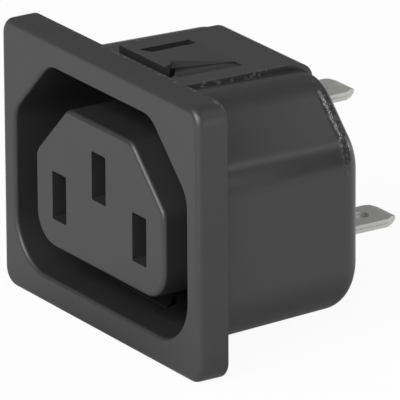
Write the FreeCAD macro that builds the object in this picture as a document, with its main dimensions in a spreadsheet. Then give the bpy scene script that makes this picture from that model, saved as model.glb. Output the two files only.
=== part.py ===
import FreeCAD, Part
import math
import os

import Sketcher

# Snap-in panel power socket, in millimetres. The origin is the centre of the flange's rear face, which rests
# on the panel. +X is to the right seen from the front, +Y goes into the panel and +Z is up.

SIZES = {
    # Flange that stays in front of the panel
    "flange_half_width": 17.2,
    "flange_half_height": 13.57,
    "flange_depth": 3.4,
    "flange_corner": 1.8,
    "flange_edge": 0.7,
    "flange_rear_edge": 0.4,
    # Shroud behind the flange; a bevel is the distance of a 45 degree face from the socket's axis
    "shroud_half_width": 16.0,
    "shroud_half_height": 11.86,
    "shroud_bevel": 15.34,
    "shroud_top_corner": 5.2,
    "shroud_bottom_corner": 6.4,
    "shroud_depth": 16.15,
    "shroud_draft": 1.6,
    "shroud_rear_edge": 2.1,
    # Moat that takes the plug's collar
    "moat_half_width": 14.95,
    "moat_half_height": 10.66,
    "moat_bevel": 13.79,
    "moat_top_corner": 3.0,
    "moat_bottom_corner": 5.0,
    "moat_floor": 12.3,
    "moat_edge": 0.4,
    # Core that stands in the moat
    "core_half_width": 11.2,
    "core_half_height": 7.28,
    "core_bevel": 9.12,
    "core_top_corner": 1.6,
    "core_bottom_corner": 3.2,
    "core_edge": 0.45,
    # Pin slots and the chambers behind them
    "pin_half_pitch": 7.0,
    "pin_level": 2.0,
    "slot_half_width": 1.22,
    "slot_half_height": 2.42,
    "slot_corner": 0.2,
    "slot_depth": 1.2,
    "chamber_half_width": 2.7,
    # Raised lands on the shroud's top and bottom, and the snap tongue that lies in each land's recess
    "land_half_width": 6.95,
    "land_height": 12.2,
    "land_rear_height": 11.96,
    "land_rear_round": 1.8,
    "recess_half_width": 4.55,
    "recess_front": 0.3,
    "recess_end": 9.8,
    "recess_floor": 12.04,
    "groove_half_width": 3.4,
    "groove_front": 2.9,
    "groove_floor": 11.3,
    "slit": 0.3,
    "tongue_overlap": 0.6,
    "tongue_root_half_width": 3.35,
    "tongue_neck_half_width": 1.7,
    "tongue_neck": 3.7,
    "neck_lean": 1.15,
    "barb_half_width": 3.95,
    "barb_rear_half_width": 3.35,
    "barb_front": 1.55,
    "barb_rear": 2.45,
    "barb_height": 13.2,
    "ramp_height": 12.9,
    "barb_seat": 11.0,
    "latch_clear": 14.2,
    "slit_sink": 0.4,
    # Rear cover and its seat
    "seat_half_width": 11.6,
    "seat_half_height": 7.8,
    "seat_bevel": 9.6,
    "seat_top_corner": 1.6,
    "seat_bottom_corner": 3.0,
    "cover_thickness": 1.5,
    "cover_edge": 0.2,
    "fit_gap": 0.05,
    # Contacts: strip of one thickness, folded double at the tab
    "half_strip": 0.2,
    "strip_bend": 0.3,
    "channel_half_width": 2.6,
    "channel_front": 9.5,
    "channel_rim": 1.6,
    "mains_web_drop": 2.55,
    "earth_web_drop": 3.4,
    "leaf_half_height": 1.6,
    "leaf_bend": 4.8,
    "leaf_pinch": 1.0,
    "leaf_mouth": 2.1,
    "tab_half_width": 2.4,
    "tab_tip": 24.55,
    "tab_tip_corner": 0.92,
    "tab_tip_taper": 1.45,
    "tab_coin_rise": 0.22,
    "tab_coin_run": 0.6,
    "tab_hole_radius": 0.75,
    "tab_hole_place": 21.5,
    "tab_hole_lead": 0.15,
    "tab_fold_round": 0.36,
    "tab_seam_half": 0.015,
    "tab_seam_depth": 0.3,
}

# Full thickness of the contacts' strip
STRIP = ("half_strip", "half_strip")

# Each pole: its place in signs of the half pitch and of the pin level, and the drop from pin to web.
# The web and tab lie below the two mains pins and above the earth pin.
POLES = (
    ("line_contact", -1, -1, "mains_web_drop"),
    ("neutral_contact", 1, -1, "mains_web_drop"),
    ("earth_contact", 0, 1, "earth_web_drop"),
)

# How near a point has to be to an outline to count as on it
NEAR = 0.1

# The least volume by which a feature has to change its solid
LEAST_CHANGE = 1e-3

doc = FreeCAD.newDocument("panel_power_socket")
sheet = doc.addObject("Spreadsheet::Sheet", "Sizes")
for row, (alias, size) in enumerate(SIZES.items(), start=1):
    sheet.set(f"A{row}", alias)
    sheet.set(f"B{row}", str(size))
    sheet.setAlias(f"B{row}", alias)
doc.recompute()


def measure(*terms):
    """Amount and sheet formula for a sum of named sizes; a leading minus sign subtracts one."""
    amount = 0.0
    formula = ""
    for term in terms:
        alias = term.lstrip("-")
        sign = -1 if term.startswith("-") else 1
        amount += sign * SIZES[alias]
        formula += f"{'-' if sign < 0 else '+'} Sizes.{alias} "
    return amount, formula.strip("+ ")


def signed(sign, *terms):
    """The same sum of named sizes, its negative, or nothing at all for a sign of 0."""
    if sign == 0:
        return ()
    if sign > 0:
        return terms
    return tuple(term[1:] if term.startswith("-") else "-" + term for term in terms)


def bind(target, path, *terms):
    """Drive one property of an object from the sheet."""
    target.setExpression(path, measure(*terms)[1])


def origin_plane(body, role):
    """One of the body's own origin planes."""
    return next(feature for feature in body.Origin.OriginFeatures if feature.Role == role)


def add_sketch(body, name, role, x=(), y=(), z=()):
    """Sketch on one of the body's own origin planes, moved by named sizes along the plane's axes."""
    sketch = body.newObject("Sketcher::SketchObject", name)
    sketch.AttachmentSupport = [(origin_plane(body, role), "")]
    sketch.MapMode = "FlatFace"
    for axis, terms in (("x", x), ("y", y), ("z", z)):
        if terms:
            bind(sketch, f"AttachmentOffset.Base.{axis}", *terms)
    return sketch


def constrain(sketch, *definition, size=None):
    """Add one constraint and drive it from the sheet where it has a size."""
    if size is None:
        sketch.addConstraint(Sketcher.Constraint(*definition))
        return
    amount, formula = measure(*size)
    index = sketch.addConstraint(Sketcher.Constraint(*definition, amount))
    sketch.setExpression(f"Constraints[{index}]", formula)


def convex_outline(sketch, sides):
    """Closed outline of straight sides with round corners.

    Each side is (direction it faces in degrees, distance from the sketch's origin, radius of the corner that
    follows it), given counter-clockwise; a corner with no radius stays sharp.
    """
    count = len(sides)
    facing = [math.radians(side[0]) for side in sides]
    distance = [measure(*side[1])[0] for side in sides]
    radius = [measure(*side[2])[0] for side in sides]
    turns = [(facing[(i + 1) % count] - facing[i]) % (2 * math.pi) for i in range(count)]
    starts = [None] * count
    ends = [None] * count
    centres = [None] * count
    for i in range(count):
        j = (i + 1) % count
        reach = distance[i] - radius[i], distance[j] - radius[i]
        # Centre of the corner's arc: the meeting point of both sides moved inwards by the radius
        x = (reach[0] * math.sin(facing[j]) - reach[1] * math.sin(facing[i])) / math.sin(turns[i])
        y = (reach[1] * math.cos(facing[i]) - reach[0] * math.cos(facing[j])) / math.sin(turns[i])
        centres[i] = FreeCAD.Vector(x, y, 0)
        for k, points in ((i, ends), (j, starts)):
            out = FreeCAD.Vector(math.cos(facing[k]), math.sin(facing[k]), 0)
            points[k] = centres[i] + out * radius[i]
    lines = [sketch.addGeometry(Part.LineSegment(starts[i], ends[i])) for i in range(count)]
    for i in range(count):
        j = (i + 1) % count
        if sides[i][0] % 90:
            sketch.addConstraint(Sketcher.Constraint("Angle", lines[i], facing[i] + math.pi / 2))
        else:
            constrain(sketch, "Horizontal" if sides[i][0] % 180 else "Vertical", lines[i])
        constrain(sketch, "Distance", -1, 1, lines[i], size=sides[i][1])
        if radius[i]:
            circle = Part.Circle(centres[i], FreeCAD.Vector(0, 0, 1), radius[i])
            arc = sketch.addGeometry(Part.ArcOfCircle(circle, facing[i], facing[i] + turns[i]))
            constrain(sketch, "Tangent", lines[i], 2, arc, 1)
            constrain(sketch, "Tangent", arc, 2, lines[j], 1)
            constrain(sketch, "Radius", arc, size=sides[i][2])
        else:
            constrain(sketch, "Coincident", lines[i], 2, lines[j], 1)


def corner_outline(sketch, corners, tangent_arcs=()):
    """Closed outline through named corners, in order.

    Each corner is a pair of sums of named sizes, the first empty on the sketch's upright axis. A stretch is
    straight, or for the corners numbered in tangent_arcs an arc in line with the stretch before it.
    """
    count = len(corners)
    places = [FreeCAD.Vector(measure(*x)[0], measure(*y)[0], 0) for x, y in corners]
    edges = []
    for i in range(count):
        start, end = places[i], places[(i + 1) % count]
        if i not in tangent_arcs:
            edges.append((sketch.addGeometry(Part.LineSegment(start, end)), 1, 2))
            continue
        along = (start - places[i - 1]).normalize()
        normal = FreeCAD.Vector(-along.y, along.x, 0)
        chord = end - start
        radius = chord.dot(chord) / (2 * chord.dot(normal))
        centre = start + normal * radius
        half_turn = math.degrees(math.atan2(chord.dot(normal), chord.dot(along)))
        middle = centre + FreeCAD.Rotation(FreeCAD.Vector(0, 0, 1), half_turn).multVec(start - centre)
        arc = sketch.addGeometry(Part.Arc(start, middle, end))
        first = sketch.getPoint(arc, 1)
        edges.append((arc, 1, 2) if first.distanceToPoint(start) < 1e-6 else (arc, 2, 1))
    for i in range(count):
        edge, first, last = edges[i]
        before = edges[i - 1]
        kind = "Tangent" if i in tangent_arcs else "Coincident"
        constrain(sketch, kind, before[0], before[2], edge, first)
        if corners[i][0]:
            constrain(sketch, "DistanceX", -1, 1, edge, first, size=corners[i][0])
        else:
            constrain(sketch, "PointOnObject", edge, first, -2)
        constrain(sketch, "DistanceY", -1, 1, edge, first, size=corners[i][1])


def extrude(body, kind, name, sketch, *length, reverse=False, both=False):
    """Pad or pocket a sketch by a sum of named sizes, and check that it changed the solid."""
    before = body.Shape.Volume if body.Tip else 0.0
    feature = body.newObject("PartDesign::" + kind, name)
    feature.Profile = sketch
    feature.Reversed = reverse
    if both:
        feature.SideType = "Symmetric"
    bind(feature, "Length", *length)
    doc.recompute()
    assert abs(feature.Shape.Volume - before) > LEAST_CHANGE, f"{name} changed nothing"
    return feature


def cut_between(body, name, first, last):
    """Cut straight from one sketch to another, and check that it changed the solid."""
    before = body.Shape.Volume
    feature = body.newObject("PartDesign::SubtractiveLoft", name)
    feature.Profile = first
    feature.Sections = [last]
    feature.Ruled = True
    doc.recompute()
    assert abs(feature.Shape.Volume - before) > LEAST_CHANGE, f"{name} changed nothing"
    return feature


def edges_where(shape, test):
    """Names of the edges whose middle point passes a test."""
    names = []
    for number, edge in enumerate(shape.Edges, start=1):
        middle = edge.valueAt((edge.FirstParameter + edge.LastParameter) / 2)
        if test(edge, middle):
            names.append(f"Edge{number}")
    return names


def dress(body, kind, name, test, *size):
    """Fillet or chamfer of a named size on the edges of the body that pass a test."""
    base = body.Tip
    feature = body.newObject("PartDesign::" + kind, name)
    names = edges_where(base.Shape, test)
    assert names, f"{name} found no edges"
    feature.Base = (base, names)
    bind(feature, "Radius" if kind == "Fillet" else "Size", *size)
    doc.recompute()
    return feature


def rectangle(half_width, half_height, corner=()):
    """Sides of a rectangle about the sketch's origin, with one radius for its corners."""
    return (
        (0, half_width, corner),
        (90, half_height, corner),
        (180, half_width, corner),
        (270, half_height, corner),
    )


def trough(half_width, rim, floor, bend):
    """Sides of a channel's section, sharp at the rim and bent at the floor."""
    return (
        (0, half_width, ()),
        (90, rim, ()),
        (180, half_width, bend),
        (270, floor, bend),
    )


def six_sides(name, gap=()):
    """Sides of the plug's own outline: flat bottom with round corners and a top with two bevelled ones."""
    width = (f"{name}_half_width",) + gap
    height = (f"{name}_half_height",) + gap
    bevel = (f"{name}_bevel",) + gap
    top = (f"{name}_top_corner",)
    bottom = (f"{name}_bottom_corner",)
    return (
        (0, width, top),
        (45, bevel, top),
        (90, height, top),
        (135, bevel, top),
        (180, width, bottom),
        (270, height, bottom),
    )


def past_outline(name, point):
    """How far a point lies outside the straight sides of a six-sided outline; negative when inside."""
    overshoot = []
    for facing, distance, _ in six_sides(name):
        angle = math.radians(facing)
        reach = point.x * math.cos(angle) + point.z * math.sin(angle)
        overshoot.append(reach - measure(*distance)[0])
    return max(overshoot)


def on_outline(name, point):
    """Whether a point is on a six-sided outline; a round corner's middle is inside the straight sides."""
    corner_cut = SIZES[f"{name}_bottom_corner"] * (1 - math.cos(math.radians(45)))
    return -corner_cut - NEAR < past_outline(name, point) < NEAR


def in_plane(edge, y):
    """Whether an edge lies in the plane square to the socket's axis at this depth."""
    return abs(edge.BoundBox.YMin - y) < 1e-4 and abs(edge.BoundBox.YMax - y) < 1e-4


def make_housing():
    """One moulding: flange, drafted shroud, core in its moat, latch lands and snap tongues."""
    body = doc.addObject("PartDesign::Body", "Housing")
    body.Label = "housing"
    front = -SIZES["flange_depth"]

    flange = add_sketch(body, "FlangeOutline", "XZ_Plane")
    convex_outline(flange, rectangle(("flange_half_width",), ("flange_half_height",), ("flange_corner",)))
    extrude(body, "Pad", "Flange", flange, "flange_depth")

    shroud = add_sketch(body, "ShroudOutline", "XZ_Plane")
    convex_outline(shroud, six_sides("shroud"))
    pad = extrude(body, "Pad", "Shroud", shroud, "shroud_depth", reverse=True)
    pad.setExpression("TaperAngle", "-Sizes.shroud_draft")
    doc.recompute()
    dress(body, "Fillet", "ShroudRearEdge",
          lambda edge, middle: in_plane(edge, SIZES["shroud_depth"]), "shroud_rear_edge")

    # Lands: one profile seen from the side, round at its two rear corners, as wide as the lands
    land = add_sketch(body, "LandProfile", "YZ_Plane")
    rear = ("shroud_depth",)
    before_round = ("shroud_depth", "-land_rear_round")
    shoulder = ("land_rear_height", "-land_rear_round")
    low_shoulder = ("-land_rear_height", "land_rear_round")
    corner_outline(land, [
        (("-flange_edge",), ("-land_height",)),
        (before_round, ("-land_rear_height",)),
        (rear, low_shoulder),
        (rear, shoulder),
        (before_round, ("land_rear_height",)),
        (("-flange_edge",), ("land_height",)),
    ], tangent_arcs=(1, 3))
    extrude(body, "Pad", "Lands", land, "land_half_width", "land_half_width", both=True)

    moat = add_sketch(body, "MoatOutline", "XZ_Plane", z=("flange_depth",))
    convex_outline(moat, six_sides("moat"))
    convex_outline(moat, six_sides("core"))
    extrude(body, "Pocket", "Moat", moat, "flange_depth", "moat_floor")

    seat = add_sketch(body, "CoverSeatOutline", "XZ_Plane", z=("-shroud_depth",))
    convex_outline(seat, six_sides("seat"))
    extrude(body, "Pocket", "CoverSeat", seat, "cover_thickness", reverse=True)

    for pole, side, level, web_drop in POLES:
        place = {"x": signed(side, "pin_half_pitch"), "y": signed(level, "pin_level")}
        slot = add_sketch(body, pole + "_slot_outline", "XZ_Plane", z=("flange_depth",), **place)
        convex_outline(slot, rectangle(("slot_half_width",), ("slot_half_height",), ("slot_corner",)))
        extrude(body, "Pocket", pole + "_slot", slot, "flange_depth", "slot_depth")

        # The spring leaves' chamber is as tall as the slot; the channel behind it is deeper on the web's side
        chambers = (
            ("chamber", ("slot_half_height",), "slot_depth"),
            ("channel", (web_drop,) + STRIP, "channel_front"),
        )
        for chamber, depth, end in chambers:
            room = add_sketch(body, f"{pole}_{chamber}_outline", "XZ_Plane",
                              z=("-shroud_depth", "cover_thickness"), **place)
            convex_outline(room, [
                (0, ("chamber_half_width",), ()),
                (90, depth if level > 0 else ("slot_half_height",), ()),
                (180, ("chamber_half_width",), ()),
                (270, depth if level < 0 else ("slot_half_height",), ()),
            ])
            extrude(body, "Pocket", f"{pole}_{chamber}", room,
                    "shroud_depth", "-cover_thickness", "-" + end, reverse=True)

    make_tongues(body)

    land_rise = SIZES["land_height"] - SIZES["shroud_half_height"]
    dress(body, "Fillet", "FlangeEdge",
          lambda edge, middle: in_plane(edge, front) and past_outline("moat", middle) > NEAR, "flange_edge")
    dress(body, "Fillet", "FlangeRearEdge",
          lambda edge, middle: in_plane(edge, 0) and past_outline("shroud", middle) > land_rise + NEAR,
          "flange_rear_edge")
    for rim in ("moat", "core"):
        dress(body, "Fillet", rim + "_rim",
              lambda edge, middle: in_plane(edge, front) and on_outline(rim, middle), rim + "_edge")
    return body


def make_tongues(body):
    """Snap tongue in a recess of the top land, cut free by a slit at its foot, and its mirror image below.

    Beside the tongue the recess deepens into a groove whose floor falls outwards. The neck's sides lean in.
    """
    barb = add_sketch(body, "BarbProfile", "YZ_Plane")
    corner_outline(barb, [
        (("recess_end", "tongue_overlap"), ("land_rear_height",)),
        (("barb_rear",), ("ramp_height",)),
        (("barb_rear",), ("barb_height",)),
        (("barb_front",), ("barb_height",)),
        (("barb_front",), ("barb_seat",)),
        (("recess_end", "tongue_overlap"), ("barb_seat",)),
    ])
    latch = [extrude(body, "Pad", "Barb", barb, "barb_half_width", "barb_half_width", both=True)]

    # Recess and slit go round the same tongue, drawn by halves as seen from above: hammer head, neck and root
    for side_name, side in (("Left", -1), ("Right", 1)):
        tongue = [
            (signed(side, "tongue_root_half_width"), ("recess_end",)),
            (signed(side, "tongue_neck_half_width"), ("tongue_neck",)),
            (signed(side, "barb_rear_half_width"), ("barb_rear",)),
            (signed(side, "barb_half_width"), ("barb_front",)),
            ((), ("barb_front",)),
        ]
        edge = signed(side, "recess_half_width")
        recess = add_sketch(body, side_name + "RecessOutline", "XY_Plane", z=("latch_clear",))
        corner_outline(recess, tongue + [
            ((), ("recess_front",)),
            (edge, ("recess_front",)),
            (edge, ("recess_end",)),
        ])
        latch.append(extrude(body, "Pocket", side_name + "Recess", recess, "latch_clear", "-recess_floor"))

        groove = add_sketch(body, side_name + "GrooveOutline", "XZ_Plane", z=("-groove_front",))
        corner_outline(groove, [
            (signed(side, "groove_half_width"), ("recess_floor",)),
            (signed(side, "groove_half_width"), ("land_height",)),
            (edge, ("land_height",)),
            (edge, ("groove_floor",)),
        ])
        latch.append(extrude(body, "Pocket", side_name + "Groove", groove, "recess_end", "-groove_front"))

        flank = []
        for end, half_width, depth in (("Front", "tongue_neck_half_width", "-tongue_neck"),
                                       ("Rear", "tongue_root_half_width", "-recess_end")):
            section = add_sketch(body, side_name + "Flank" + end, "XZ_Plane", z=(depth,))
            corner_outline(section, [
                (signed(side, half_width), ("recess_floor",)),
                (signed(side, half_width, "slit"), ("latch_clear",)),
                (signed(side, half_width, "-neck_lean"), ("latch_clear",)),
            ])
            flank.append(section)
        latch.append(cut_between(body, side_name + "Flank", *flank))

        slit = add_sketch(body, side_name + "SlitOutline", "XY_Plane", z=("latch_clear",))
        corner_outline(slit, tongue + [
            ((), ("barb_front", "-slit")),
            (signed(side, "barb_half_width", "slit"), ("barb_front", "-slit")),
            (signed(side, "barb_rear_half_width", "slit"), ("barb_rear", "slit")),
            (signed(side, "tongue_neck_half_width", "slit"), ("tongue_neck", "slit")),
            (signed(side, "tongue_root_half_width", "slit"), ("recess_end",)),
        ])
        latch.append(extrude(body, "Pocket", side_name + "Slit", slit,
                             "latch_clear", "-moat_half_height", "slit_sink"))

    mirror = body.newObject("PartDesign::Mirrored", "BottomTongue")
    mirror.Originals = latch
    mirror.MirrorPlane = (origin_plane(body, "XY_Plane"), [""])
    body.Tip = mirror
    before = latch[-1].Shape.Volume
    doc.recompute()
    assert abs(mirror.Shape.Volume - before) > LEAST_CHANGE, "the bottom tongue changed nothing"


def make_rear_cover():
    """Plate that fills its seat at the rear and keeps the contacts in, with a slot for each tab."""
    body = doc.addObject("PartDesign::Body", "RearCover")
    body.Label = "rear_cover"
    outline = add_sketch(body, "CoverOutline", "XZ_Plane", z=("-shroud_depth", "cover_thickness"))
    convex_outline(outline, six_sides("seat", gap=("-fit_gap",)))
    extrude(body, "Pad", "Plate", outline, "cover_thickness", reverse=True)
    for pole, side, level, web_drop in POLES:
        slot = add_sketch(body, pole + "_tab_slot_outline", "XZ_Plane", z=("-shroud_depth",),
                          x=signed(side, "pin_half_pitch"), y=signed(level, "pin_level", web_drop, *STRIP))
        convex_outline(slot, rectangle(("tab_half_width", "fit_gap"), STRIP + ("fit_gap",)))
        extrude(body, "Pocket", pole + "_tab_slot", slot, "cover_thickness", reverse=True)
    dress(body, "Chamfer", "CoverEdge",
          lambda edge, middle: in_plane(edge, SIZES["shroud_depth"]) and on_outline("seat", middle),
          "cover_edge")
    return body


def make_contact(label, side, level, web_drop):
    """Folded strip: channel with a web, two bowed leaves that grip the pin, and a tab folded double.

    It is drawn with the pin along its own Y axis and the web below; the earth contact is turned over.
    """
    body = doc.addObject("PartDesign::Body", label + "_body")
    body.Label = label

    channel = add_sketch(body, label + "_channel_outline", "XZ_Plane", z=("-channel_front",))
    convex_outline(channel, trough(("channel_half_width",), ("channel_rim",), (web_drop,) + STRIP,
                                   ("strip_bend",) + STRIP))
    length = ("shroud_depth", "-cover_thickness", "-channel_front")
    extrude(body, "Pad", label + "_channel", channel, *length, reverse=True)
    hollow = add_sketch(body, label + "_hollow_outline", "XZ_Plane", z=("-channel_front",))
    convex_outline(hollow, trough(("channel_half_width", "-half_strip", "-half_strip"),
                                  ("channel_rim",) + STRIP, (web_drop,), ("strip_bend",)))
    extrude(body, "Pocket", label + "_hollow", hollow, *length)
    make_leaves(body, label)
    make_tab(body, label, web_drop, seam_side=-level)

    if level > 0:
        body.Placement.Rotation = FreeCAD.Rotation(FreeCAD.Vector(0, 1, 0), 180)
    if side:
        bind(body, "Placement.Base.x", *signed(side, "pin_half_pitch"))
    bind(body, "Placement.Base.z", *signed(level, "pin_level"))
    doc.recompute()
    return body


def make_leaves(body, label):
    """Two leaves that carry on from the channel's walls, bow in to the pin and flare out at the mouth."""
    path = add_sketch(body, label + "_leaf_path", "XY_Plane")
    root = FreeCAD.Vector(measure("channel_half_width", "-half_strip")[0], SIZES["channel_front"], 0)
    bend = SIZES["leaf_bend"]
    # Two equal arcs in line with each other carry the leaf from the wall to the pinch
    sweep = math.acos(1 - (root.x - SIZES["leaf_pinch"]) / (2 * bend))
    inner = FreeCAD.Vector(root.x - bend, root.y, 0)
    outer = inner + FreeCAD.Vector(math.cos(sweep), -math.sin(sweep), 0) * (2 * bend)
    flare = math.asin((outer.y - SIZES["leaf_mouth"]) / bend)
    up = FreeCAD.Vector(0, 0, 1)
    first = path.addGeometry(Part.ArcOfCircle(Part.Circle(inner, up, bend), -sweep, 0))
    outer_circle = Part.Circle(outer, up, bend)
    second = path.addGeometry(Part.ArcOfCircle(outer_circle, math.pi - sweep, math.pi + flare))
    constrain(path, "Tangent", first, 1, second, 1)
    constrain(path, "DistanceX", -1, 1, first, 2, size=("channel_half_width", "-half_strip"))
    constrain(path, "DistanceY", -1, 1, first, 2, size=("channel_front",))
    constrain(path, "DistanceY", -1, 1, first, 3, size=("channel_front",))
    constrain(path, "DistanceX", -1, 1, second, 3, size=("leaf_pinch", "leaf_bend"))
    constrain(path, "DistanceY", -1, 1, second, 2, size=("leaf_mouth",))
    constrain(path, "Radius", first, size=("leaf_bend",))
    constrain(path, "Radius", second, size=("leaf_bend",))

    section = add_sketch(body, label + "_leaf_section", "XZ_Plane",
                         x=("channel_half_width", "-half_strip"), z=("-channel_front",))
    convex_outline(section, rectangle(("half_strip",), ("leaf_half_height",)))
    doc.recompute()
    leaf = body.newObject("PartDesign::AdditivePipe", label + "_leaf")
    leaf.Profile = section
    leaf.Spine = (path, [])
    doc.recompute()
    mirror = body.newObject("PartDesign::Mirrored", label + "_leaf_pair")
    mirror.Originals = [leaf]
    mirror.MirrorPlane = (origin_plane(body, "YZ_Plane"), [""])
    body.Tip = mirror
    doc.recompute()
    assert mirror.Shape.Volume > leaf.Shape.Volume + LEAST_CHANGE, f"{label} has one leaf"


def make_tab(body, label, web_drop, seam_side):
    """Quick-connect tab: strip folded double, with cut corners, a coined tip, a hole and the fold's seam."""
    middle = ("-" + web_drop, "-half_strip", "-half_strip")
    outline = add_sketch(body, label + "_tab_outline", "XZ_Plane",
                         y=middle, z=("-shroud_depth", "cover_thickness"))
    across = ("tab_half_width",)
    fold = ("tab_fold_round",)
    seam_right = seam_side > 0
    convex_outline(outline, [
        (0, across, () if seam_right else fold),
        (90, STRIP, fold if seam_right else ()),
        (180, across, fold if seam_right else ()),
        (270, STRIP, () if seam_right else fold),
    ])
    extrude(body, "Pad", label + "_tab", outline, "tab_tip", "-shroud_depth", "cover_thickness", reverse=True)

    # Tip corners cut to a taper; each cut runs past the tab on both sides
    corner, taper = "tab_tip_corner", "tab_tip_taper"
    corners = add_sketch(body, label + "_tip_corners", "XY_Plane")
    for sign in (-1, 1):
        far = signed(sign, "tab_half_width", corner)
        near = signed(sign, "tab_half_width", "-" + corner, "-" + corner)
        past_tip = ("tab_tip", taper)
        corner_outline(corners, [
            (far, ("tab_tip", "-" + taper, "-" + taper)),
            (far, past_tip),
            (near, past_tip),
        ])
    extrude(body, "Pocket", label + "_tip_cut", corners, web_drop, *STRIP, *STRIP)

    # Lead-in coined on both faces at the tip
    coin = add_sketch(body, label + "_coin_profile", "YZ_Plane", y=middle)
    run, rise = "tab_coin_run", "tab_coin_rise"
    for sign in (-1, 1):
        above = signed(sign, *STRIP, rise)
        past_tip = ("tab_tip", run)
        corner_outline(coin, [
            (("tab_tip", "-" + run, "-" + run), above),
            (past_tip, signed(sign, *STRIP, "-" + rise, "-" + rise)),
            (past_tip, above),
        ])
    extrude(body, "Pocket", label + "_coin", coin, "tab_half_width", "tab_half_width", both=True)

    hole = add_sketch(body, label + "_hole_outline", "XY_Plane")
    centre = FreeCAD.Vector(0, SIZES["tab_hole_place"], 0)
    up = FreeCAD.Vector(0, 0, 1)
    ring = hole.addGeometry(Part.Circle(centre, up, SIZES["tab_hole_radius"]))
    constrain(hole, "PointOnObject", ring, 3, -2)
    constrain(hole, "DistanceY", -1, 1, ring, 3, size=("tab_hole_place",))
    constrain(hole, "Radius", ring, size=("tab_hole_radius",))
    extrude(body, "Pocket", label + "_hole", hole, web_drop, *STRIP, *STRIP)
    dress(body, "Chamfer", label + "_hole_lead",
          lambda edge, middle: isinstance(edge.Curve, Part.Circle) and edge.Curve.Center.distanceToLine(
              centre, up) < NEAR, "tab_hole_lead")

    # The two layers part along one long edge
    seam = add_sketch(body, label + "_seam_outline", "XZ_Plane", y=middle, z=("-tab_tip",))
    inner = signed(seam_side, "tab_half_width", "-tab_seam_depth")
    outer = signed(seam_side, "tab_half_width", "tab_seam_depth")
    corner_outline(seam, [
        (inner, ("-tab_seam_half",)),
        (outer, ("-tab_seam_half",)),
        (outer, ("tab_seam_half",)),
        (inner, ("tab_seam_half",)),
    ])
    extrude(body, "Pocket", label + "_seam", seam, "tab_tip", "-shroud_depth", reverse=True)


housing = make_housing()
rear_cover = make_rear_cover()
contacts = [make_contact(*pole) for pole in POLES]
pieces = [housing, rear_cover] + contacts

doc.recompute()
for item in doc.Objects:
    troubles = {"Invalid", "Error"}.intersection(item.State)
    assert not troubles, f"{item.Name} is {troubles}"
for piece in pieces:
    assert not piece.Shape.isNull() and piece.Shape.isValid(), f"{piece.Label} has no valid shape"
    assert len(piece.Shape.Solids) == 1, f"{piece.Label} is not one solid"

os.makedirs("parts", exist_ok=True)
for piece in pieces:
    piece.Shape.exportStep(f"parts/{piece.Label}.step")
    print(piece.Label, round(piece.Shape.Volume, 1), "mm3")
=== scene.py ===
import math

import bpy
from mathutils import Matrix, Vector


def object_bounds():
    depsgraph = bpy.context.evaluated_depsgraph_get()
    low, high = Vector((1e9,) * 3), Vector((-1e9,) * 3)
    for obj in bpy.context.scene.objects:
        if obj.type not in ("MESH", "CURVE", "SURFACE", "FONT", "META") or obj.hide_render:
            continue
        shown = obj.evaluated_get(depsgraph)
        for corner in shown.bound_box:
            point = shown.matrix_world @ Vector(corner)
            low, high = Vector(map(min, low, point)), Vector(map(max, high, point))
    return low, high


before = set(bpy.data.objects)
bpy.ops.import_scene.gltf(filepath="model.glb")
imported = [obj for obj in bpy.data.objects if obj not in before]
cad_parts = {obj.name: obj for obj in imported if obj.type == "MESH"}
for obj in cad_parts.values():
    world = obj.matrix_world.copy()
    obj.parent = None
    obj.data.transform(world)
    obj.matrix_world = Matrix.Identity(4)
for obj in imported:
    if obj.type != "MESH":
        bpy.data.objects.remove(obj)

cad_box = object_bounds()


# The housing is one injection moulding in black thermoplastic: flange, shroud, core and snap tongues.
# Its mould was spark-eroded to a fine satin grain on the faces that stay in sight, and left smoother
# down the drafted sides.


def set_input(tree, socket, value):
    """Link another node's output to an input, or write a plain value into it."""
    if isinstance(value, bpy.types.NodeSocket):
        tree.links.new(value, socket)
    else:
        socket.default_value = value


def add_node(tree, kind, **inputs):
    """Add a shader node; each keyword sets or links the input of that name, with _ for a space."""
    node = tree.nodes.new("ShaderNode" + kind)
    for name, value in inputs.items():
        set_input(tree, node.inputs[name.replace("_", " ")], value)
    return node


def combine(tree, operation, *values):
    """Output of a Math node that works on one, two or three values."""
    node = tree.nodes.new("ShaderNodeMath")
    node.operation = operation
    for socket, value in zip(node.inputs, values):
        set_input(tree, socket, value)
    return node.outputs["Value"]


GRAINS_PER_METRE = 5200.0
COARSE_GRAIN = 0.4


def surface_marks_group():
    """Slow cloudy change, which every piece carries at its own size, and the fine grain of the mouldings.

    Cloud is smooth noise of a few millimetres or less. Grain is the mean of a fine noise and a coarser one.
    """
    group = bpy.data.node_groups.new("surface marks", "ShaderNodeTree")
    group.interface.new_socket("Clouds per metre", in_out="INPUT", socket_type="NodeSocketFloat")
    grains = group.interface.new_socket("Grains per metre", in_out="INPUT", socket_type="NodeSocketFloat")
    grains.default_value = GRAINS_PER_METRE
    for name in ("Cloud", "Grain"):
        group.interface.new_socket(name, in_out="OUTPUT", socket_type="NodeSocketFloat")
    start = group.nodes.new("NodeGroupInput")
    end = group.nodes.new("NodeGroupOutput")
    place = add_node(group, "TexCoord").outputs["Object"]
    cloud_scale = start.outputs["Clouds per metre"]
    fine_scale = start.outputs["Grains per metre"]
    coarse_scale = combine(group, "MULTIPLY", fine_scale, COARSE_GRAIN)
    cloud = add_node(group, "TexNoise", Vector=place, Scale=cloud_scale, Detail=2.0)
    fine = add_node(group, "TexNoise", Vector=place, Scale=fine_scale, Detail=1.0)
    coarse = add_node(group, "TexNoise", Vector=place, Scale=coarse_scale, Detail=1.0)
    both = combine(group, "ADD", fine.outputs["Fac"], coarse.outputs["Fac"])
    group.links.new(cloud.outputs["Fac"], end.inputs["Cloud"])
    group.links.new(combine(group, "MULTIPLY", both, 0.5), end.inputs["Grain"])
    return group


surface_marks = surface_marks_group()


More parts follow.
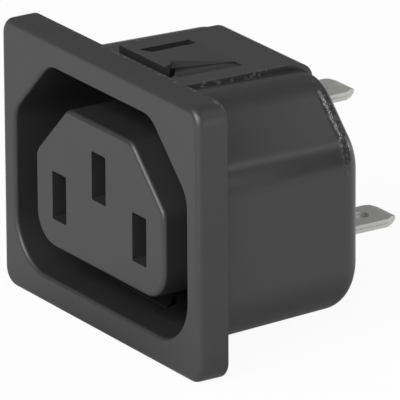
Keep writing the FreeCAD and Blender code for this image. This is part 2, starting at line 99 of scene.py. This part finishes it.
def add_surface_marks(tree, clouds_per_metre):
    """Put the group of surface marks into a material, with clouds of that material's own size."""
    node = tree.nodes.new("ShaderNodeGroup")
    node.node_tree = surface_marks
    node.inputs["Clouds per metre"].default_value = clouds_per_metre
    return node


def remap(tree, value, low, high):
    """Value that goes evenly from low to high while the given one goes from 0 to 1."""
    return add_node(tree, "MapRange", Value=value, To_Min=low, To_Max=high).outputs["Result"]


def above(tree, value, level, fade):
    """Mask that rises evenly from 0 at a level to 1 at the level plus the fade."""
    return add_node(tree, "MapRange", Value=value, From_Min=level, From_Max=level + fade).outputs["Result"]


def grey(level):
    """Neutral colour of a level, with full alpha."""
    return (level, level, level, 1.0)


def mix_colours(tree, mask, first, second):
    """Colour that goes from the first to the second while the mask goes from 0 to 1."""
    node = tree.nodes.new("ShaderNodeMix")
    node.data_type = "RGBA"
    sockets = {socket.identifier: socket for socket in (*node.inputs, *node.outputs)}
    set_input(tree, sockets["Factor_Float"], mask)
    set_input(tree, sockets["A_Color"], first)
    set_input(tree, sockets["B_Color"], second)
    return sockets["Result_Color"]


def new_material(name):
    """Material that is made of nodes, and its node tree."""
    material = bpy.data.materials.new(name)
    material.use_nodes = True
    return material, material.node_tree


MM = 0.001
PLASTIC_BLACK = 0.026
PLASTIC_IOR = 1.6
CLOUD_TONE = (0.86, 1.16)
TONE_SPREAD = 0.2
ROUGHNESS_DRIFT = 0.05
GRAIN_DEPTH = 0.004 * MM
SIDES_START = -0.2 * MM
SIDES_FADE = 0.4 * MM


def satin_moulding(name, roughness, side_gloss):
    """Satin plastic whose tone and gloss drift slowly, with the relief of a fine eroded grain.

    Behind the flange's rear face the roughness is less by the side gloss.
    """
    material, tree = new_material(name)
    shader = tree.nodes["Principled BSDF"]
    marks = add_surface_marks(tree, clouds_per_metre=180.0)
    cloud = marks.outputs["Cloud"]
    grain = marks.outputs["Grain"]
    tone = combine(tree, "MULTIPLY", remap(tree, cloud, *CLOUD_TONE), grain)
    dark = grey(PLASTIC_BLACK * (1.0 - TONE_SPREAD))
    light = grey(PLASTIC_BLACK * (1.0 + TONE_SPREAD))
    tree.links.new(mix_colours(tree, tone, dark, light), shader.inputs["Base Color"])
    place = add_node(tree, "TexCoord").outputs["Object"]
    depth = add_node(tree, "SeparateXYZ", Vector=place).outputs["Y"]
    sides = above(tree, depth, SIDES_START, SIDES_FADE)
    drift = remap(tree, cloud, roughness - ROUGHNESS_DRIFT, roughness + ROUGHNESS_DRIFT)
    tree.links.new(combine(tree, "MULTIPLY_ADD", sides, -side_gloss, drift), shader.inputs["Roughness"])
    relief = add_node(tree, "Bump", Height=grain, Strength=1.0, Distance=GRAIN_DEPTH)
    tree.links.new(relief.outputs["Normal"], shader.inputs["Normal"])
    shader.inputs["IOR"].default_value = PLASTIC_IOR
    return material


def band(tree, value, middle, reach):
    """Mask that is 1 round a middle and fades to 0 over the outer half of its reach, on both sides."""
    away = combine(tree, "ABSOLUTE", combine(tree, "SUBTRACT", value, middle))
    return add_node(tree, "MapRange", Value=away, From_Min=reach, From_Max=0.5 * reach).outputs["Result"]


def fed_by(socket):
    """Output that an input is linked to."""
    return socket.links[0].from_socket


# Where the worn edges lie on the moulding, how far the wear reaches, and how coarse and strong it is.
RIM_DEPTH = 14.5 * MM
RIM_REACH = 0.7 * MM
RIM_POLISH = 0.15
BEVEL_HEIGHT = 7.3 * MM
BEVEL_REACH = 4.4 * MM
NICKS_PER_METRE = 3200.0
NICK_DEPTH = 0.055 * MM
FLANGE_EDGE = -0.4 * MM
FLANGE_TOP = 12.9 * MM
LAND_SIDE = 6.95 * MM
LAND_TOP = 11.3 * MM
LAND_MIDDLE = 7.0 * MM
LAND_REACH = 7.0 * MM
EDGE_REACH = 0.4 * MM
SCUFFED_GREY = 0.10
SCUFFS_PER_METRE = 1900.0
SCUFF_LEVEL = 0.55
SCUFF_FADE = 0.08


def wear_edges(material):
    """Wear the edges that rub on the panel and on other goods in the box.

    The rounded rear rim gets nicks on top of the grain, and a polish. The rim, the rear edge of the
    flange's top and the sides of the top land get pale scuffs, where noise passes a level.
    """
    tree = material.node_tree
    shader = tree.nodes["Principled BSDF"]
    place = add_node(tree, "TexCoord").outputs["Object"]
    axes = add_node(tree, "SeparateXYZ", Vector=place)
    from_middle = combine(tree, "ABSOLUTE", axes.outputs["X"])
    depth = axes.outputs["Y"]
    height = axes.outputs["Z"]

    rim = combine(tree, "MULTIPLY", band(tree, depth, RIM_DEPTH, RIM_REACH),
                  band(tree, height, BEVEL_HEIGHT, BEVEL_REACH))
    nicks = add_node(tree, "TexNoise", Vector=place, Scale=NICKS_PER_METRE, Detail=2.0)
    nicked = add_node(tree, "Bump", Height=combine(tree, "MULTIPLY", rim, nicks.outputs["Fac"]),
                      Normal=fed_by(shader.inputs["Normal"]), Strength=1.0, Distance=NICK_DEPTH)
    tree.links.new(nicked.outputs["Normal"], shader.inputs["Normal"])
    polished = combine(tree, "MULTIPLY_ADD", rim, -RIM_POLISH, fed_by(shader.inputs["Roughness"]))
    tree.links.new(polished, shader.inputs["Roughness"])

    flange_edge = combine(tree, "MULTIPLY", band(tree, depth, FLANGE_EDGE, EDGE_REACH),
                          above(tree, height, FLANGE_TOP, EDGE_REACH))
    land_top = combine(tree, "MULTIPLY", above(tree, height, LAND_TOP, EDGE_REACH),
                       band(tree, depth, LAND_MIDDLE, LAND_REACH))
    land_edge = combine(tree, "MULTIPLY", band(tree, from_middle, LAND_SIDE, EDGE_REACH), land_top)
    edges = combine(tree, "MAXIMUM", rim, combine(tree, "MAXIMUM", flange_edge, land_edge))
    spots = add_node(tree, "TexNoise", Vector=place, Scale=SCUFFS_PER_METRE, Detail=3.0)
    scuffs = combine(tree, "MULTIPLY", edges, above(tree, spots.outputs["Fac"], SCUFF_LEVEL, SCUFF_FADE))
    scuffed = mix_colours(tree, scuffs, fed_by(shader.inputs["Base Color"]), grey(SCUFFED_GREY))
    tree.links.new(scuffed, shader.inputs["Base Color"])


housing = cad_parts["housing"]
housing_satin = satin_moulding("housing_satin_black", roughness=0.42, side_gloss=0.12)
wear_edges(housing_satin)
housing.material_slots[0].material = housing_satin


# The contacts are tinned brass strip, blanked and folded: two bowed leaves that grip the pin, a channel
# that sits in the housing, and a flat tab folded double. They drop into their chambers from the rear,
# before it is closed.
TIN_DARK = (0.62, 0.625, 0.59, 1.0)
TIN_LIGHT = (0.92, 0.925, 0.88, 1.0)
TIN_ROUGHNESS = (0.50, 0.66)
BLOTCH_SHARE = 0.7
STREAK_SHARE = 0.4
SHADE_SHIFT = -0.05
STREAKS_PER_METRE = 6000.0
STREAK_SCALE = (1.0, 0.03, 1.0)
STREAK_DEPTH = 0.002 * MM
HAIRLINES_PER_METRE = 400.0
HAIRLINE_TURN = (0.0, -0.6, 0.8)
HAIRLINE_SQUEEZE = (0.05, 1.0, 1.0)
HAIRLINE_LEVEL = 0.62
HAIRLINE_FADE = 0.08
HAIRLINE_ROUGHNESS = 0.1


def tinned_strip(name):
    """Matt tin over rolled strip: streaks along the strip, slow blotches of tin and a few hairlines.

    The hairlines are the crests of a noise squeezed along a diagonal, thin sheets that every face cuts
    as lines.
    """
    material, tree = new_material(name)
    shader = tree.nodes["Principled BSDF"]
    blotches = add_surface_marks(tree, clouds_per_metre=900.0).outputs["Cloud"]
    place = add_node(tree, "TexCoord").outputs["Object"]
    along = add_node(tree, "Mapping", Vector=place, Scale=STREAK_SCALE).outputs["Vector"]
    streaks = add_node(tree, "TexNoise", Vector=along, Scale=STREAKS_PER_METRE, Detail=2.0).outputs["Fac"]
    shade = combine(tree, "MULTIPLY_ADD", blotches, BLOTCH_SHARE, SHADE_SHIFT)
    streaked = combine(tree, "MULTIPLY_ADD", streaks, STREAK_SHARE, shade)
    tree.links.new(mix_colours(tree, streaked, TIN_DARK, TIN_LIGHT), shader.inputs["Base Color"])
    turned = add_node(tree, "Mapping", Vector=place, Rotation=HAIRLINE_TURN, Scale=HAIRLINE_SQUEEZE)
    turned.vector_type = "TEXTURE"
    lines = add_node(tree, "TexNoise", Vector=turned.outputs["Vector"], Scale=HAIRLINES_PER_METRE,
                     Detail=3.0)
    hairlines = above(tree, lines.outputs["Fac"], HAIRLINE_LEVEL, HAIRLINE_FADE)
    gloss = remap(tree, blotches, *TIN_ROUGHNESS)
    scratched = combine(tree, "MULTIPLY_ADD", hairlines, HAIRLINE_ROUGHNESS, gloss)
    tree.links.new(scratched, shader.inputs["Roughness"])
    relief = add_node(tree, "Bump", Height=streaks, Strength=1.0, Distance=STREAK_DEPTH)
    tree.links.new(relief.outputs["Normal"], shader.inputs["Normal"])
    shader.inputs["Metallic"].default_value = 1.0
    return material


tin = tinned_strip("tinned_strip")
for contact in ("line_contact", "neutral_contact", "earth_contact"):
    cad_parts[contact].material_slots[0].material = tin


# The rear cover is a thin plate of the same black plastic, pushed into a seat round the contact chambers
# after the contacts are in. Nobody sees it once the socket is wired, so its mould was left plain.
rear_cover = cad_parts["rear_cover"]
rear_cover.material_slots[0].material = satin_moulding("cover_black", roughness=0.5, side_gloss=0.0)


# The stage is a floor of white paper under the flange and a soft dome that is darker towards the horizon.
# Soft lamps stand in front, at both sides and behind, and one small card is close to the right side.
floor_level = cad_box[0].z
PAPER_WHITE = 0.9
SEEN_GLOW = 0.94
MIRRORED_GLOW = 0.9
MIRRORED_GREY = 0.76
SHADOW_GREY = 0.22
SHADOW_MIDDLE = 0.42
SHADOW_RIM = 0.8
SHADOW_REACH = (34 * MM, 36 * MM, 1.0)
SHADOW_CENTRE = (0, 12 * MM, floor_level)


def floor_paper():
    """White paper, seen as nearly even white by the camera and, by mirrors, as a grey glow with a painted
    soft shadow.

    The painted shadow is an ellipse round its own centre: the grey glow rises evenly from the middle to the
    rim.
    """
    material, tree = new_material("floor_paper")
    tree.nodes.clear()
    paper = add_node(tree, "BsdfDiffuse", Color=grey(PAPER_WHITE))
    rays = add_node(tree, "LightPath")
    seen = rays.outputs["Is Camera Ray"]
    mirrored = combine(tree, "MAXIMUM", rays.outputs["Is Glossy Ray"], rays.outputs["Is Transmission Ray"])
    place = add_node(tree, "TexCoord").outputs["Object"]
    scaled = add_node(tree, "Mapping", Vector=place, Location=SHADOW_CENTRE, Scale=SHADOW_REACH)
    scaled.vector_type = "TEXTURE"
    spread = add_node(tree, "VectorMath")
    spread.operation = "LENGTH"
    tree.links.new(scaled.outputs["Vector"], spread.inputs[0])
    # Painted shadow: the glow that mirrors see on the floor is darker in an ellipse under the socket,
    # whatever the lamps do.
    shadow = add_node(tree, "MapRange", Value=spread.outputs["Value"], From_Min=SHADOW_MIDDLE,
                      From_Max=SHADOW_RIM, To_Min=SHADOW_GREY, To_Max=MIRRORED_GREY)
    strength = combine(tree, "MAXIMUM", seen, shadow.outputs["Result"])
    glow = add_node(tree, "Emission", Color=grey(1.0), Strength=strength)
    share = combine(tree, "MAXIMUM", combine(tree, "MULTIPLY", mirrored, MIRRORED_GLOW),
                    combine(tree, "MULTIPLY", seen, SEEN_GLOW))
    mixed = add_node(tree, "MixShader", Fac=share)
    tree.links.new(paper.outputs["BSDF"], mixed.inputs[1])
    tree.links.new(glow.outputs["Emission"], mixed.inputs[2])
    add_node(tree, "OutputMaterial", Surface=mixed.outputs["Shader"])
    return material


FLOOR_REACH = 3.0
FLOOR_CORNERS = ((-1, -1), (1, -1), (1, 1), (-1, 1))
floor_mesh = bpy.data.meshes.new("floor")
corners = [(x * FLOOR_REACH, y * FLOOR_REACH, floor_level) for x, y in FLOOR_CORNERS]
floor_mesh.from_pydata(corners, [], [(0, 1, 2, 3)])
floor_mesh.materials.append(floor_paper())
floor = bpy.data.objects.new("floor", floor_mesh)
bpy.context.scene.collection.objects.link(floor)

HORIZON_LIGHT = 0.03
DOME_LIGHT = 0.27
DOME_FULL_HEIGHT = 0.5
world = bpy.data.worlds.new("studio")
world.use_nodes = True
bpy.context.scene.world = world
sky = world.node_tree
sky_direction = add_node(sky, "TexCoord").outputs["Generated"]
sky_height = add_node(sky, "SeparateXYZ", Vector=sky_direction).outputs["Z"]
dome = add_node(sky, "MapRange", Value=sky_height, From_Min=0.0, From_Max=DOME_FULL_HEIGHT,
                To_Min=HORIZON_LIGHT, To_Max=DOME_LIGHT)
sky_seen = add_node(sky, "LightPath").outputs["Is Camera Ray"]
background = sky.nodes["Background"]
background.inputs["Color"].default_value = grey(1.0)
sky.links.new(combine(sky, "MAXIMUM", dome.outputs["Result"], sky_seen), background.inputs["Strength"])

LAMP_DISTANCE = 0.6


def soft_lamp(name, direction, size, power, distance=LAMP_DISTANCE):
    """Square soft lamp that looks at the origin from a direction."""
    data = bpy.data.lights.new(name, "AREA")
    data.size = size
    data.energy = power
    lamp = bpy.data.objects.new(name, data)
    towards = Vector(direction).normalized()
    lamp.location = towards * distance
    lamp.rotation_euler = towards.to_track_quat("Z", "Y").to_euler()
    bpy.context.scene.collection.objects.link(lamp)


soft_lamp("key_lamp", direction=(0.14, -0.80, 0.59), size=0.30, power=2.0)
soft_lamp("right_lamp", direction=(0.587, 0.514, 0.627), size=0.08, power=0.085)
soft_lamp("back_lamp", direction=(0.20, 0.73, 0.65), size=0.10, power=0.2)
soft_lamp("rear_lamp", direction=(-0.06, 0.99, 0.13), size=0.12, power=0.14)
soft_lamp("left_lamp", direction=(-0.79, 0.51, 0.34), size=0.3, power=0.014)
soft_lamp("fill_lamp", direction=(0.56, -0.56, 0.61), size=0.3, power=0.9)
soft_lamp("low_lamp", direction=(0.35, -0.90, 0.25), size=0.4, power=1.3)
soft_lamp("side_card", direction=(0.86, 0.285, 0.27), size=0.026, power=0.0036, distance=0.075)


# The camera stands to the right of the front, a little above, with a long lens; its place and turn were
# fitted to the pin slots and the flange's edges in the photograph.
AZIMUTH = math.radians(56.948)
ELEVATION = math.radians(19.668)
ROLL = math.radians(-0.324)
DISTANCE = 718.75 * MM
ASIDE = (6.659 * MM, -0.754 * MM)
FOCAL_PIXELS = 7636.0
FRAME_PIXELS = 400.0
SENSOR_WIDTH = 36.0
NEAR_LIMIT = 0.01
FAR_LIMIT = 20.0

outward = Vector((math.sin(AZIMUTH), -math.cos(AZIMUTH), 0.0))
back = outward * math.cos(ELEVATION) + Vector((0.0, 0.0, math.sin(ELEVATION)))
level = Vector((math.cos(AZIMUTH), math.sin(AZIMUTH), 0.0))
upright = back.cross(level)
right = math.cos(ROLL) * level + math.sin(ROLL) * upright
up = math.cos(ROLL) * upright - math.sin(ROLL) * level
lens = bpy.data.cameras.new("camera")
lens.sensor_width = SENSOR_WIDTH
lens.lens = SENSOR_WIDTH * FOCAL_PIXELS / FRAME_PIXELS
lens.clip_start = NEAR_LIMIT
lens.clip_end = FAR_LIMIT
camera = bpy.data.objects.new("camera", lens)
turn = Matrix((right, up, back)).transposed().to_4x4()
camera.matrix_world = Matrix.Translation(back * DISTANCE + right * ASIDE[0] + up * ASIDE[1]) @ turn
bpy.context.scene.collection.objects.link(camera)
bpy.context.scene.camera = camera
bpy.context.scene.view_settings.view_transform = "Standard"
